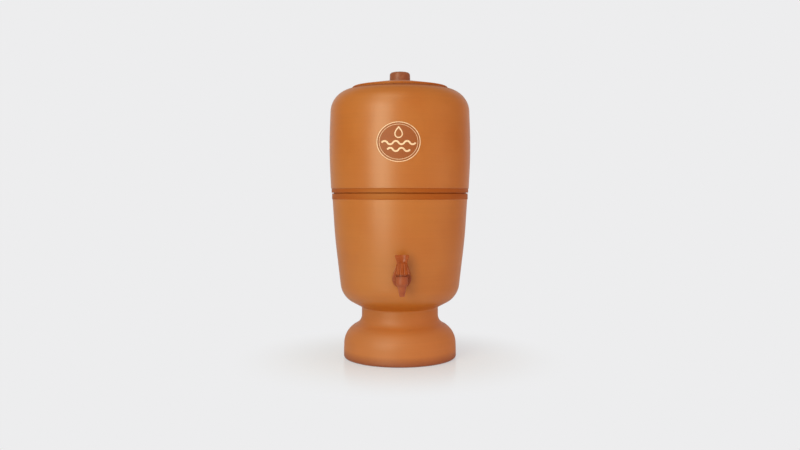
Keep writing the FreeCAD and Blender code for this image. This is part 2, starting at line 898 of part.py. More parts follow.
def make_handle_fin():
    """Butterfly fin with rounded edges, scooped on both sides for the thumb and the finger."""
    top_z = waist_z + fin_height
    root_z = waist_z - fin_root_depth
    bend_z = waist_z + fin_bend_rise
    waist_half = skirt_waist_radius
    half = waist_half + fin_flare
    fin = plate(
        [
            (-waist_half, root_z),
            (waist_half, root_z),
            (waist_half, bend_z, fin_side_round),
            (half, top_z, fin_corner_round),
            (-half, top_z, fin_corner_round),
            (-waist_half, bend_z, fin_side_round),
        ],
        fin_thickness,
    )
    rims = [e for e in fin.Edges if abs(abs(e.CenterOfMass.y) - fin_thickness / 2) < 1e-6]
    fin = fin.makeFillet(fin_edge_round, [e for e in rims if e.CenterOfMass.z > root_z + 1e-6])
    for side in (1, -1):
        centre = V(0, side * (fin_thickness / 2 + scoop_radius - scoop_depth), waist_z + scoop_rise)
        scoop = rod(scoop_radius, fin_height, centre).fuse(Part.makeSphere(scoop_radius, centre))
        fin = fin.cut(scoop)
    return fin


def make_tap_handle():
    """Skirt and fin in one moulding, pressed on the plug's square. Shut, the fin stands crosswise."""
    socket_half = plug_square / 2 + running_clearance
    socket_top = hub_z + plug_square_height + light_gap
    socket_low = V(-socket_half, -socket_half, hub_z - past_face)
    socket = box_between(socket_low, V(socket_half, socket_half, socket_top))
    return at_barrel(make_handle_skirt().fuse(make_handle_fin()).cut(socket).removeSplitter())


def make_tap_washer(front):
    """Rubber ring on the shank whose front face lies at that distance from the pot's axis."""
    washer = lay_back(ring(tap_washer_radius, tap_shank_radius + light_gap, tap_washer_thickness, 0))
    washer.translate(V(0, -front, tap_z))
    return washer


def make_tap_lock_nut():
    """Hexagon nut with its inner corners chamfered, which clamps the tap from inside the chamber."""
    nut = hexagon_prism(tap_nut_across_flats, tap_nut_thickness)
    chamfer_radius = tap_nut_across_flats / math.sqrt(3)
    chamfer = turned(
        [
            (0, 0),
            (chamfer_radius, 0),
            (chamfer_radius, tap_nut_thickness - tap_nut_chamfer),
            (tap_nut_across_flats / 2 - tap_nut_face_step, tap_nut_thickness),
            (0, tap_nut_thickness),
        ]
    )
    hole = rod(tap_shank_radius + thread_clearance, 2 * tap_nut_thickness, V(0, 0, -past_face))
    nut = lay_back(nut.common(chamfer).cut(hole))
    nut.translate(V(0, -nut_front, tap_z))
    return nut


# ---------------------------------------------------------------- all pieces

pieces = {
    "lower_chamber": make_lower_chamber(),
    "upper_chamber": make_upper_chamber(),
    "lid": make_lid(),
    "lid_knob": make_lid_knob(),
    "lid_knob_washer": make_knob_washer(),
    "lid_knob_screw": make_knob_screw(),
    "candle_base": make_candle_base(),
    "candle_shell": make_candle_shell(),
    "candle_carbon_fill": make_candle_fill(),
    "candle_top_gasket": make_candle_gasket(upper_floor_top_z),
    "candle_bottom_gasket": make_candle_gasket(nut_top_z),
    "candle_wing_nut": make_wing_nut(),
    "float_valve_body": make_valve_body(),
    "float_pivot_pin": make_pivot_pin(),
    "float_arm": make_float_arm(),
    "float_seal_pad": make_seal_pad(),
    "float_upper_half": float_half(True),
    "float_lower_half": float_half(False),
    "tap_body": make_tap_body(),
    "tap_plug": make_tap_plug(),
    "tap_plug_o_ring": make_plug_o_ring(),
    "tap_cap_nut": make_cap_nut(),
    "tap_handle": make_tap_handle(),
    "tap_outer_washer": make_tap_washer(flange_back),
    "tap_inner_washer": make_tap_washer(tap_inner_seat),
    "tap_lock_nut": make_tap_lock_nut(),
}

os.makedirs("parts", exist_ok=True)
for name, shape in pieces.items():
    shape.exportStep(f"parts/{name}.step")
    print(f"{name}: {len(shape.Solids)} solid, {shape.Volume / 1000:.2f} cm3, valid {shape.isValid()}")
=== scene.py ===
import math

import bpy
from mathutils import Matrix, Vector


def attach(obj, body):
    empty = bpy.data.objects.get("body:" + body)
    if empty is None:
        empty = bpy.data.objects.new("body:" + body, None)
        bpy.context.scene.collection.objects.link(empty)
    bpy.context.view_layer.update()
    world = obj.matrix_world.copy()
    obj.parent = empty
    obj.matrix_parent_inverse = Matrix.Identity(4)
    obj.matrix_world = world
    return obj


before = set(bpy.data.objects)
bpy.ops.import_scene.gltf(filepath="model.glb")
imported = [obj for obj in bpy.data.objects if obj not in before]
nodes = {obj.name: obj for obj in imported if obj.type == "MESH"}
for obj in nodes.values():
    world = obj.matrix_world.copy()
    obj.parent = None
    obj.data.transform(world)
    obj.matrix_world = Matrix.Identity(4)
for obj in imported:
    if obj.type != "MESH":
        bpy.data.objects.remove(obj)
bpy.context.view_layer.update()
bpy.ops.object.select_all(action="DESELECT")
print("frame loaded,", len(nodes), "pieces")

# colour and node helpers


def linear(hexColour):  # sRGB hex to the linear colour that a socket takes
    channels = [int(hexColour[k:k + 2], 16) / 255 for k in (1, 3, 5)]
    return [c / 12.92 if c <= 0.04045 else ((c + 0.055) / 1.055) ** 2.4 for c in channels] + [1.0]


def addNode(tree, kind, settings=None, inputs=None):
    # Adds a node. An input that is given a value is set, and one that is given a socket is linked.
    # Where names repeat or run long, inputs go by number. Map Range: 0 value, 1 and 2 from, 3 and 4 to, which
    # stay 0 and 1 when they aren't given. Mix: 0 factor, 6 and 7 the two colours, or 2 and 3 the two numbers.
    node = tree.nodes.new(kind)
    for name, value in (settings or {}).items():
        setattr(node, name, value)
    for socket, value in (inputs or {}).items():
        if isinstance(value, bpy.types.NodeSocket):
            tree.links.new(value, node.inputs[socket])
        else:
            node.inputs[socket].default_value = value
    return node


def newFinish(name, shader):  # an empty finish: its tree, its place on the piece, its shader
    material = bpy.data.materials.new(name)
    material.use_nodes = True
    tree = material.node_tree
    tree.nodes.clear()
    coords = addNode(tree, "ShaderNodeTexCoord")
    surface = addNode(tree, "ShaderNodeBsdfPrincipled", inputs=shader)
    addNode(tree, "ShaderNodeOutputMaterial", inputs={"Surface": surface.outputs["BSDF"]})
    return material, tree, coords, surface


def dress(material, *names):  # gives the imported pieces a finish
    for name in names:
        for slot in nodes[name].material_slots:
            slot.material = material


# fired clay

nowhere = (-1.0, -0.9)  # a range of heights under the pot: that look is left out
# What the three thrown pieces share, with heights in metres. The painted light on the foot, the painted edge
# shade
# and handled give two heights: where that look is full and where none of it is left.
thrownClay = {
    "ior": 1.75,
    "clayGloss": "#fffbee",
    "paintGloss": "#fff3a8",
    "raw": "#c98556",
    "fleck": "#8f4a22",
    "footLitTone": "#c77332",  # painted light: the foot is made paler, standing in for light that the bowl keeps off it
    "footLitTop": nowhere,
    "handled": nowhere,  # where hands and wiping have dulled the gloss
    "floor": nowhere,  # where the upward faces are the unsponged floor inside
    "bandWander": 0.0008,  # the brush's line goes up and down by half of this
    "softLine": 0.0004,  # how far a band takes to fade in at its edge
    # shares of the painted light on the foot and of the painted edge shade
    "footLitShare": 0.85,
    "edgeShare": 0.7,
    "rawShare": 0.85,
    "fleckShare": 0.45,
    "kilnDull": 0.08,  # roughness from the kiln's drift, the slip and the hands
    "slipDull": 0.20,
    "handDull": 0.13,
    "rawRough": 0.92,
    "reliefDepth": 0.00006,
}
lowerClay = {
    "name": "thrownTerracottaLower",
    "clay": "#bc6818",
    "flash": "#bf6e20",  # paler where the kiln's draught passed
    "paint": "#a54a04",
    "bands": ((0.2741, 0.2850),),
    # painted light on the foot: full below the first height, gone above the second
    "footLitTop": (0.064, 0.084),
    "handled": (0.070, 0.092),  # the foot and the waist
    "edgeTone": "#85361c",
    "edge": (0.004, 0.017),  # the foot's rim: painted shade, darker towards the floor
    "floor": (0.090, 0.130),
    "underRadius": 0.060,  # the underside is raw out to this radius
    "rawBelow": -1.0,
    "rough": 0.41,
}
upperClay = {
    "name": "thrownTerracottaUpper",
    "clay": "#bc681e",
    "flash": "#bf6e25",
    "paint": "#a54a04",
    # the second band rings the mouth: slip, and also painted shadow where the lid meets the mouth
    "bands": ((0.2840, 0.2932), (0.4614, 0.4656)),
    "handled": (0.4640, 0.4560),  # the mouth, where the lid is lifted off
    "edgeTone": "#b46428",
    "edge": (0.2930, 0.2960),  # painted shade on the clay's down-facing edge just above the lower band
    "floor": (0.280, 0.320),
    "underRadius": 0.1145,
    "rawBelow": 0.2843,  # the step that stands in the lower chamber's mouth
    "rough": 0.40,
}
lidClay = {
    "name": "thrownTerracottaLid",
    "clay": "#c46818",
    "flash": "#c67022",
    "paint": "#ae5208",
    "bands": ((0.4652, 0.4690),),
    # painted shade on the lid's lower edge, over the gap at the mouth
    "edgeTone": "#c06412",
    "edge": (0.4654, 0.4672),
    "underRadius": 0.2,  # all of it
    "rawBelow": 0.4652,  # the ring under the lid
    "rough": 0.42,
}


def thrownTerracotta(look):
    # Low-fired terracotta, thrown and sponged smooth: satin orange clay, darker slip bands, raw matt inside.
    look = {**thrownClay, **look}
    material, tree, coords, surface = newFinish(
        look["name"], {"IOR": look["ior"], "Specular Tint": linear(look["clayGloss"])}
    )
    place, facing = coords.outputs["Object"], coords.outputs["Normal"]
    z = addNode(tree, "ShaderNodeSeparateXYZ", inputs={0: place}).outputs["Z"]
    up = addNode(tree, "ShaderNodeSeparateXYZ", inputs={0: facing}).outputs["Z"]
    flat = addNode(
        tree, "ShaderNodeVectorMath", {"operation": "MULTIPLY"}, {0: place, 1: (1, 1, 0)}
    ).outputs[0]
    radius = addNode(tree, "ShaderNodeVectorMath", {"operation": "LENGTH"}, {0: flat}).outputs["Value"]
    away = addNode(tree, "ShaderNodeVectorMath", {"operation": "NORMALIZE"}, {0: flat}).outputs[0]
    outward = addNode(
        tree, "ShaderNodeVectorMath", {"operation": "DOT_PRODUCT"}, {0: away, 1: facing}
    ).outputs["Value"]

    # raw clay: walls that face the axis, the inside floor, the underside and the spigot
    raw = addNode(tree, "ShaderNodeMapRange", inputs={0: outward, 1: -0.02, 2: -0.12}).outputs[0]
    low, high = look["floor"]
    overFloor = addNode(tree, "ShaderNodeMapRange", inputs={0: z, 1: low, 2: low + 0.001}).outputs[0]
    underTop = addNode(tree, "ShaderNodeMapRange", inputs={0: z, 1: high, 2: high - 0.001}).outputs[0]
    faceUp = addNode(tree, "ShaderNodeMapRange", inputs={0: up, 1: 0.3, 2: 0.6}).outputs[0]
    faceDown = addNode(tree, "ShaderNodeMapRange", inputs={0: up, 1: -0.3, 2: -0.6}).outputs[0]
    inReach = addNode(
        tree, "ShaderNodeMapRange", inputs={0: radius, 1: look["underRadius"] + 0.001, 2: look["underRadius"]}
    ).outputs[0]
    slab = addNode(tree, "ShaderNodeMath", {"operation": "MULTIPLY"}, {0: overFloor, 1: underTop}).outputs[0]
    floorTop = addNode(tree, "ShaderNodeMath", {"operation": "MULTIPLY"}, {0: slab, 1: faceUp}).outputs[0]
    underside = addNode(
        tree, "ShaderNodeMath", {"operation": "MULTIPLY"}, {0: faceDown, 1: inReach}
    ).outputs[0]
    spigot = addNode(
        tree, "ShaderNodeMapRange", inputs={0: z, 1: look["rawBelow"] + 0.0003, 2: look["rawBelow"] - 0.0003}
    ).outputs[0]
    for patch in (floorTop, underside, spigot):
        raw = addNode(tree, "ShaderNodeMath", {"operation": "MAXIMUM"}, {0: raw, 1: patch}).outputs[0]

    # patterns: 80 mm kiln drift, 3 mm turning rings, 0.7 mm grain, iron flecks about 6 mm apart
    drift = addNode(
        tree, "ShaderNodeTexNoise", inputs={"Vector": place, "Scale": 12.5, "Detail": 2}
    ).outputs[0]
    ringPlace = addNode(tree, "ShaderNodeMapping", inputs={"Vector": place, "Scale": (5, 5, 330)}).outputs[0]
    rings = addNode(
        tree, "ShaderNodeTexNoise", inputs={"Vector": ringPlace, "Scale": 1, "Detail": 2}
    ).outputs[0]
    grain = addNode(
        tree, "ShaderNodeTexNoise", inputs={"Vector": place, "Scale": 1400, "Detail": 3}
    ).outputs[0]
    cells = addNode(tree, "ShaderNodeTexVoronoi", inputs={"Vector": place, "Scale": 170})
    cellPick = addNode(tree, "ShaderNodeSeparateColor", inputs={0: cells.outputs["Color"]}).outputs[0]
    fleckDot = addNode(
        tree, "ShaderNodeMapRange", inputs={0: cells.outputs["Distance"], 1: 0.11, 2: 0.07}
    ).outputs[0]
    someCells = addNode(
        tree, "ShaderNodeMapRange", inputs={0: cellPick, 1: 0.45, 2: 0.95, 4: 0.55}
    ).outputs[0]
    fleck = addNode(tree, "ShaderNodeMath", {"operation": "MULTIPLY"}, {0: fleckDot, 1: someCells}).outputs[0]

    # colour, from the clay up: flashing, painted light on the foot, painted shade at an edge,
    # slip bands, raw clay, flecks
    flashing = addNode(tree, "ShaderNodeMapRange", inputs={0: drift, 1: 0.36, 2: 0.64}).outputs[0]
    colour = addNode(
        tree,
        "ShaderNodeMix",
        {"data_type": "RGBA"},
        {0: flashing, 6: linear(look["clay"]), 7: linear(look["flash"])},
    ).outputs[2]
    wander, soft = look["bandWander"], look["softLine"]
    wobble = addNode(
        tree, "ShaderNodeMath", {"operation": "MULTIPLY_ADD"}, {0: drift, 1: wander, 2: -wander / 2}
    ).outputs[0]
    level = addNode(tree, "ShaderNodeMath", {"operation": "ADD"}, {0: z, 1: wobble}).outputs[0]
    # slip bands; the one at the upper chamber's mouth is also painted shadow of the lid
    band = 0.0
    for low, high in look["bands"]:
        above = addNode(tree, "ShaderNodeMapRange", inputs={0: level, 1: low, 2: low + soft}).outputs[0]
        below = addNode(tree, "ShaderNodeMapRange", inputs={0: level, 1: high, 2: high - soft}).outputs[0]
        stroke = addNode(tree, "ShaderNodeMath", {"operation": "MULTIPLY"}, {0: above, 1: below}).outputs[0]
        band = addNode(tree, "ShaderNodeMath", {"operation": "MAXIMUM"}, {0: stroke, 1: band}).outputs[0]
    slip = addNode(tree, "ShaderNodeMapRange", inputs={0: rings, 1: 0.2, 2: 0.6, 3: 0.8}).outputs[0]
    painted = addNode(tree, "ShaderNodeMath", {"operation": "MULTIPLY"}, {0: band, 1: slip}).outputs[0]
    # painted shade: darker over the heights given for an edge
    full, none = look["edge"]
    edge = addNode(
        tree, "ShaderNodeMapRange", inputs={0: z, 1: none, 2: full, 4: look["edgeShare"]}
    ).outputs[0]
    # painted light: the foot is made paler below the heights given for it
    full, none = look["footLitTop"]
    footLit = addNode(
        tree, "ShaderNodeMapRange", inputs={0: z, 1: none, 2: full, 4: look["footLitShare"]}
    ).outputs[0]
    rawSoft = addNode(
        tree, "ShaderNodeMath", {"operation": "MULTIPLY"}, {0: raw, 1: look["rawShare"]}
    ).outputs[0]
    fleckSoft = addNode(
        tree, "ShaderNodeMath", {"operation": "MULTIPLY"}, {0: fleck, 1: look["fleckShare"]}
    ).outputs[0]
    for amount, tone in (
        (footLit, "footLitTone"),
        (edge, "edgeTone"),
        (painted, "paint"),
        (rawSoft, "raw"),
        (fleckSoft, "fleck"),
    ):
        colour = addNode(
            tree, "ShaderNodeMix", {"data_type": "RGBA"}, {0: amount, 6: colour, 7: linear(look[tone])}
        ).outputs[2]
    ringTone = addNode(
        tree, "ShaderNodeMath", {"operation": "MULTIPLY_ADD"}, {0: rings, 1: 0.08, 2: 0.90}
    ).outputs[0]
    shade = addNode(
        tree, "ShaderNodeMath", {"operation": "MULTIPLY_ADD"}, {0: grain, 1: 0.12, 2: ringTone}
    ).outputs[0]
    colour = addNode(tree, "ShaderNodeHueSaturation", inputs={"Value": shade, "Color": colour}).outputs[0]
    tree.links.new(colour, surface.inputs["Base Color"])
    gloss = addNode(
        tree,
        "ShaderNodeMix",
        {"data_type": "RGBA"},
        {0: painted, 6: linear(look["clayGloss"]), 7: linear(look["paintGloss"])},
    ).outputs[2]
    tree.links.new(gloss, surface.inputs["Specular Tint"])

    # gloss: sponged outside satin, slip and handled clay duller, raw clay matt
    base = look["rough"] - look["kilnDull"] / 2
    rough = addNode(
        tree, "ShaderNodeMath", {"operation": "MULTIPLY_ADD"}, {0: drift, 1: look["kilnDull"], 2: base}
    ).outputs[0]
    rough = addNode(
        tree, "ShaderNodeMath", {"operation": "MULTIPLY_ADD"}, {0: painted, 1: look["slipDull"], 2: rough}
    ).outputs[0]
    full, none = look["handled"]
    dulled = addNode(
        tree, "ShaderNodeMapRange", inputs={0: z, 1: none, 2: full, 4: look["handDull"]}
    ).outputs[0]
    rough = addNode(tree, "ShaderNodeMath", {"operation": "ADD"}, {0: rough, 1: dulled}).outputs[0]
    rough = addNode(tree, "ShaderNodeMix", inputs={0: raw, 2: rough, 3: look["rawRough"]}).outputs[0]
    tree.links.new(rough, surface.inputs["Roughness"])

    # relief: rings and grain together 0.06 mm deep, three times that on raw clay
    height = addNode(
        tree, "ShaderNodeMath", {"operation": "MULTIPLY_ADD"}, {0: grain, 1: 0.5, 2: rings}
    ).outputs[0]
    gain = addNode(tree, "ShaderNodeMath", {"operation": "MULTIPLY_ADD"}, {0: raw, 1: 2, 2: 1}).outputs[0]
    height = addNode(tree, "ShaderNodeMath", {"operation": "MULTIPLY"}, {0: height, 1: gain}).outputs[0]
    height = addNode(
        tree, "ShaderNodeMath", {"operation": "MULTIPLY_ADD"}, {0: fleck, 1: -0.4, 2: height}
    ).outputs[0]
    relief = addNode(
        tree, "ShaderNodeBump", inputs={"Strength": 0.5, "Distance": look["reliefDepth"], "Height": height}
    ).outputs[0]
    tree.links.new(relief, surface.inputs["Normal"])
    return material


dress(thrownTerracotta(lowerClay), "lower_chamber")
dress(thrownTerracotta(upperClay), "upper_chamber")
dress(thrownTerracotta(lidClay), "lid")
print("clay finished")

# moulded plastics

knobPlastic = {
    "name": "mouldedPolystyreneKnob",
    "colour": "#985637",
    "flow": "#a46343",
    "scuff": "#c48f6c",
    "rough": 0.36,
}
tapPlastic = {
    "name": "mouldedPolypropyleneTap",
    "colour": "#9e4b29",
    "flow": "#a85630",
    "scuff": "#bd7d58",
    "rough": 0.34,
}
handlePlastic = {
    "name": "mouldedPolypropyleneHandle",
    "colour": "#a14a1b",
    "flow": "#aa5324",
    "scuff": "#bd7d58",
    "rough": 0.26,
}
whitePlastic = {
    "name": "mouldedPolypropyleneWhite",
    "colour": "#dedbd2",
    "flow": "#e8e5dd",
    "scuff": "#cfcabd",
    "rough": 0.42,
}
innerPlastic = {
    "name": "mouldedAcetalPlug",
    "colour": "#d9d4c8",
    "flow": "#e2ded3",
    "scuff": "#c9c2b3",
    "rough": 0.30,
}
floatPlastic = {
    "name": "blownPolyethyleneFloat",
    "colour": "#4f7397",
    "flow": "#5b7fa3",
    "scuff": "#87a2ba",
    "rough": 0.38,
}


def mouldedPlastic(look):
    # Moulded plastic: even satin sheen, slow flow marks, a fine spark-eroded grain, light scuffs from hands.
    material, tree, coords, surface = newFinish(look["name"], {"IOR": 1.42})
    place = coords.outputs["Object"]
    flow = addNode(
        tree, "ShaderNodeTexNoise", inputs={"Vector": place, "Scale": 70, "Detail": 2, "Distortion": 1.2}
    ).outputs[0]  # 14 mm streaks
    grain = addNode(
        tree, "ShaderNodeTexNoise", inputs={"Vector": place, "Scale": 2200, "Detail": 2}
    ).outputs[0]  # 0.45 mm
    scratchPlace = addNode(
        tree,
        "ShaderNodeMapping",
        inputs={"Vector": place, "Rotation": (0.5, 0.9, 0.3), "Scale": (90, 900, 900)},
    ).outputs[0]  # 11 mm long, 1 mm apart
    scratch = addNode(
        tree, "ShaderNodeTexNoise", inputs={"Vector": scratchPlace, "Scale": 1, "Detail": 3}
    ).outputs[0]
    blend = addNode(tree, "ShaderNodeMapRange", inputs={0: flow, 1: 0.35, 2: 0.65}).outputs[0]
    scuff = addNode(tree, "ShaderNodeMapRange", inputs={0: scratch, 1: 0.60, 2: 0.76, 4: 0.35}).outputs[0]
    colour = addNode(
        tree,
        "ShaderNodeMix",
        {"data_type": "RGBA"},
        {0: blend, 6: linear(look["colour"]), 7: linear(look["flow"])},
    ).outputs[2]
    colour = addNode(
        tree, "ShaderNodeMix", {"data_type": "RGBA"}, {0: scuff, 6: colour, 7: linear(look["scuff"])}
    ).outputs[2]
    tree.links.new(colour, surface.inputs["Base Color"])
    rough = addNode(
        tree, "ShaderNodeMath", {"operation": "MULTIPLY_ADD"}, {0: flow, 1: 0.10, 2: look["rough"] - 0.05}
    ).outputs[0]
    rough = addNode(
        tree, "ShaderNodeMath", {"operation": "MULTIPLY_ADD"}, {0: scuff, 1: 0.3, 2: rough}
    ).outputs[0]
    tree.links.new(rough, surface.inputs["Roughness"])
    relief = addNode(
        tree, "ShaderNodeBump", inputs={"Strength": 0.4, "Distance": 0.00002, "Height": grain}
    ).outputs[0]
    tree.links.new(relief, surface.inputs["Normal"])
    return material


whiteFinish = mouldedPlastic(whitePlastic)
innerFinish = mouldedPlastic(innerPlastic)
tapFinish = mouldedPlastic(tapPlastic)
dress(mouldedPlastic(knobPlastic), "lid_knob")
dress(tapFinish, "tap_body")
dress(mouldedPlastic(handlePlastic), "tap_handle")
dress(whiteFinish, "candle_base", "candle_wing_nut", "float_valve_body", "float_arm", "tap_lock_nut")
dress(innerFinish, "tap_plug", "tap_cap_nut")
dress(mouldedPlastic(floatPlastic), "float_upper_half", "float_lower_half")
print("plastics finished")

# the candle's ceramic and its carbon

candle = {
    "white": "#e9e3d6",
    "cream": "#dfd5c1",
    "pore": "#b9ac94",
    "carbon": "#191817",
    "carbonFace": "#34322f",
}


def firedCandleShell():
    # Slip-cast diatomite, fired unglazed: chalky cream white, dead matt, open pores about 1 mm apart.
    material, tree, coords, surface = newFinish("castDiatomiteShell", {"IOR": 1.45, "Roughness": 0.93})
    place = coords.outputs["Object"]
    drift = addNode(tree, "ShaderNodeTexNoise", inputs={"Vector": place, "Scale": 35, "Detail": 3}).outputs[0]
    cells = addNode(tree, "ShaderNodeTexVoronoi", inputs={"Vector": place, "Scale": 900}).outputs["Distance"]
    pore = addNode(tree, "ShaderNodeMapRange", inputs={0: cells, 1: 0.30, 2: 0.12, 4: 0.6}).outputs[0]
    blend = addNode(tree, "ShaderNodeMapRange", inputs={0: drift, 1: 0.38, 2: 0.66}).outputs[0]
    colour = addNode(
        tree,
        "ShaderNodeMix",
        {"data_type": "RGBA"},
        {0: blend, 6: linear(candle["white"]), 7: linear(candle["cream"])},
    ).outputs[2]
    colour = addNode(
        tree, "ShaderNodeMix", {"data_type": "RGBA"}, {0: pore, 6: colour, 7: linear(candle["pore"])}
    ).outputs[2]
    tree.links.new(colour, surface.inputs["Base Color"])
    height = addNode(tree, "ShaderNodeMath", {"operation": "SUBTRACT"}, {0: drift, 1: pore}).outputs[0]
    relief = addNode(
        tree, "ShaderNodeBump", inputs={"Strength": 0.6, "Distance": 0.00008, "Height": height}
    ).outputs[0]
    tree.links.new(relief, surface.inputs["Normal"])
    return material


def packedCarbon():
    # Activated carbon, crushed to 1.5 mm granules: black, with a dull grey face here and there.
    material, tree, coords, surface = newFinish("crushedCarbonGranules", {"Roughness": 0.85})
    cells = addNode(
        tree, "ShaderNodeTexVoronoi", inputs={"Vector": coords.outputs["Object"], "Scale": 650}
    )
    shade = addNode(tree, "ShaderNodeSeparateColor", inputs={0: cells.outputs["Color"]}).outputs[0]
    colour = addNode(
        tree,
        "ShaderNodeMix",
        {"data_type": "RGBA"},
        {0: shade, 6: linear(candle["carbon"]), 7: linear(candle["carbonFace"])},
    ).outputs[2]
    tree.links.new(colour, surface.inputs["Base Color"])
    height = addNode(
        tree, "ShaderNodeMath", {"operation": "MULTIPLY"}, {0: cells.outputs["Distance"], 1: -1}
    ).outputs[0]
    relief = addNode(
        tree, "ShaderNodeBump", inputs={"Strength": 0.9, "Distance": 0.0005, "Height": height}
    ).outputs[0]
    tree.links.new(relief, surface.inputs["Normal"])
    return material


dress(firedCandleShell(), "candle_shell")
dress(packedCarbon(), "candle_carbon_fill")
print("candle finished")

# rubber and steel

rubbers = {
    "gasket": {"name": "mouldedNitrileGasket", "colour": "#2a2826", "bloom": "#3a3734"},
    "washer": {"name": "mouldedNitrileWasher", "colour": "#2c2927", "bloom": "#403c38"},
    "seal": {"name": "mouldedSiliconeSeal", "colour": "#262524", "bloom": "#343230"},
}


def mouldedRubber(look):
    # Compression-moulded rubber: near black, matt, with a faint grey bloom.
    material, tree, coords, surface = newFinish(look["name"], {"IOR": 1.52})
    place = coords.outputs["Object"]
    bloom = addNode(
        tree, "ShaderNodeTexNoise", inputs={"Vector": place, "Scale": 160, "Detail": 3}
    ).outputs[0]  # 6 mm clouds
    grain = addNode(
        tree, "ShaderNodeTexNoise", inputs={"Vector": place, "Scale": 2500, "Detail": 2}
    ).outputs[0]  # 0.4 mm
    colour = addNode(
        tree,
        "ShaderNodeMix",
        {"data_type": "RGBA"},
        {0: bloom, 6: linear(look["colour"]), 7: linear(look["bloom"])},
    ).outputs[2]
    tree.links.new(colour, surface.inputs["Base Color"])
    rough = addNode(
        tree, "ShaderNodeMath", {"operation": "MULTIPLY_ADD"}, {0: bloom, 1: 0.25, 2: 0.58}
    ).outputs[0]
    tree.links.new(rough, surface.inputs["Roughness"])
    relief = addNode(
        tree, "ShaderNodeBump", inputs={"Strength": 0.5, "Distance": 0.00003, "Height": grain}
    ).outputs[0]
    tree.links.new(relief, surface.inputs["Normal"])
    return material


steels = {
    "screw": {"name": "turnedStainlessScrew", "dark": "#a9a8a5", "light": "#c9c8c4", "lay": (0, 0, 1)},
    "washer": {"name": "stampedStainlessWasher", "dark": "#afaeaa", "light": "#cccbc7", "lay": (0, 0, 1)},
    "pin": {"name": "drawnStainlessPin", "dark": "#a6a5a2", "light": "#c6c5c1", "lay": (1, 0, 0)},
}


def turnedSteel(look):
    # Stainless steel, turned or drawn: grey metal, fine 0.4 mm tool marks along its lay, a soft sheen.
    material, tree, coords, surface = newFinish(look["name"], {"Metallic": 1.0})
    stretch = [2500 if along else 120 for along in look["lay"]]
    marksPlace = addNode(
        tree, "ShaderNodeMapping", inputs={"Vector": coords.outputs["Object"], "Scale": stretch}
    ).outputs[0]
    marks = addNode(
        tree, "ShaderNodeTexNoise", inputs={"Vector": marksPlace, "Scale": 1, "Detail": 3}
    ).outputs[0]
    colour = addNode(
        tree,
        "ShaderNodeMix",
        {"data_type": "RGBA"},
        {0: marks, 6: linear(look["dark"]), 7: linear(look["light"])},
    ).outputs[2]
    tree.links.new(colour, surface.inputs["Base Color"])
    rough = addNode(
        tree, "ShaderNodeMath", {"operation": "MULTIPLY_ADD"}, {0: marks, 1: 0.2, 2: 0.2}
    ).outputs[0]
    tree.links.new(rough, surface.inputs["Roughness"])
    relief = addNode(
        tree, "ShaderNodeBump", inputs={"Strength": 0.4, "Distance": 0.00001, "Height": marks}
    ).outputs[0]
    tree.links.new(relief, surface.inputs["Normal"])
    return material


dress(mouldedRubber(rubbers["gasket"]), "candle_top_gasket", "candle_bottom_gasket")
dress(mouldedRubber(rubbers["washer"]), "tap_outer_washer", "tap_inner_washer", "tap_plug_o_ring")
dress(mouldedRubber(rubbers["seal"]), "float_seal_pad")
dress(turnedSteel(steels["screw"]), "lid_knob_screw")
dress(turnedSteel(steels["washer"]), "lid_knob_washer")
dress(turnedSteel(steels["pin"]), "float_pivot_pin")
print("rubber and steel finished")

# printed medallion on the upper chamber: an oval frame with a water drop over two rows of waves

medallion = {
    "centreHeight": 0.3672,
    "turn": math.radians(-1.9),  # printed a touch to the left of the tap
    "standOff": 0.16,  # drawn flat this far in front of the axis, then laid on the wall
    "halfWidth": 0.0352,
    "halfHeight": 0.0322,
    "frameWidth": 0.0012,
    "innerFrameGap": 0.0026,
    "innerFrameWidth": 0.0007,
    "dropRadius": 0.0068,
    "dropRise": 0.0125,
    "dropCentre": 0.0125,  # its height over the medallion's centre
    "dropReach": 1.6,  # how far down its tip draws the sides in, in radii
    "dropHollow": 0.74,  # its inner outline against the outer one
    "waveRadius": 0.0052,
    "waveWidth": 0.0028,
    "waveRows": ((-0.0015, 6), (-0.0125, 4)),  # each row's height over the centre and its number of arcs
    "groundLift": 0.00010,
    "lineLift": 0.00022,
    "filmThickness": 0.00006,
    "groundRings": 9,
    "groundRingWidth": 0.0033,
    "ovalSides": 96,
    "dropSides": 40,
    "waveSides": 48,
    "ground": "#a45928",
    "groundFlow": "#9d5324",
    "ink": "#fcdcb6",
    "inkThin": "#e8b98a",
}


def printedInk(name, solid, thin):
    # Screen-printed slip ink: flat matt film, thin where the screen's mesh skipped over the clay's grain.
    material, tree, coords, surface = newFinish(name, {"IOR": 1.45, "Roughness": 0.55})
    place = coords.outputs["Object"]
    skips = addNode(
        tree, "ShaderNodeTexNoise", inputs={"Vector": place, "Scale": 900, "Detail": 3}
    ).outputs[0]  # 1 mm
    thinning = addNode(tree, "ShaderNodeMapRange", inputs={0: skips, 1: 0.46, 2: 0.68}).outputs[0]
    colour = addNode(
        tree, "ShaderNodeMix", {"data_type": "RGBA"}, {0: thinning, 6: linear(solid), 7: linear(thin)}
    ).outputs[2]
    tree.links.new(colour, surface.inputs["Base Color"])
    relief = addNode(
        tree, "ShaderNodeBump", inputs={"Strength": 0.4, "Distance": 0.00003, "Height": skips}
    ).outputs[0]
    tree.links.new(relief, surface.inputs["Normal"])
    return material


def addOval(vertices, halfWidth, halfHeight, across=0.0, rise=0.0):
    # a filled oval in front of the pot, facing outwards, at that place on the medallion
    bpy.ops.mesh.primitive_circle_add(
        vertices=vertices,
        radius=1,
        fill_type="NGON",
        location=(across, -medallion["standOff"], medallion["centreHeight"] + rise),
        rotation=(math.pi / 2, 0, 0),
    )
    piece = bpy.context.object
    piece.scale = (halfWidth, halfHeight, 1)
    bpy.ops.object.transform_apply()
    return piece


